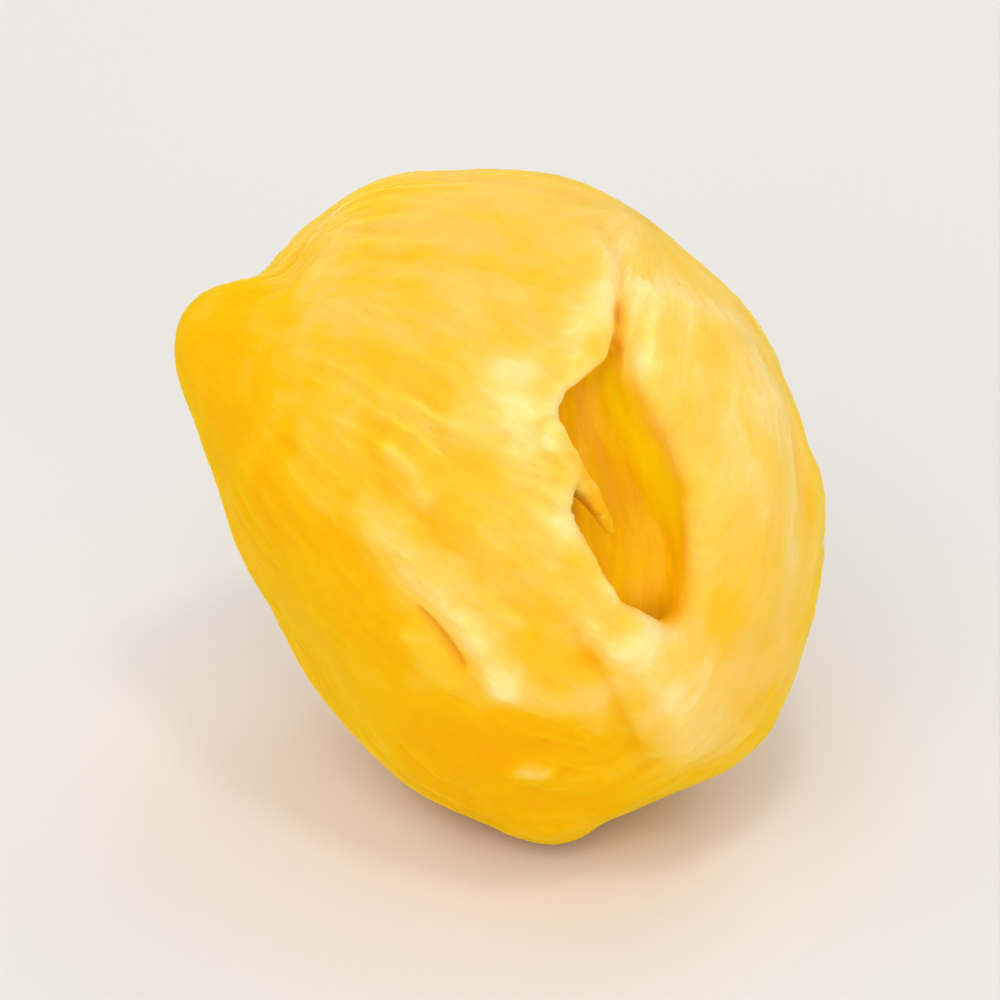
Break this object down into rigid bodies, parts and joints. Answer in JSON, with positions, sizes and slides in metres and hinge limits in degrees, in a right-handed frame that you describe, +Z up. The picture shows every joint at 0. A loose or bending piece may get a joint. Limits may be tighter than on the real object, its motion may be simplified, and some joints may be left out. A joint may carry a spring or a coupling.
{
  "type": "dried pitted yellow cherry",
  "caption": "Dried, pitted yellow cherry: a plump, wrinkled, translucent fruit with an open pitting slit in front, a stem scar at the back and a flattened underside that it rests on.",
  "frame": {"origin": "middle of the fruit's footprint, on the flattened face that it rests on", "axes": "+Z up, -Y towards the side with the pitting slit, +X to the right seen from that side"},
  "size_m": [0.0196, 0.0178, 0.0194],
  "materials": {
    "flesh": "satin"
  },
  "bodies": {
    "root": {"cherry": "flesh"}
  },
  "joints": []
}
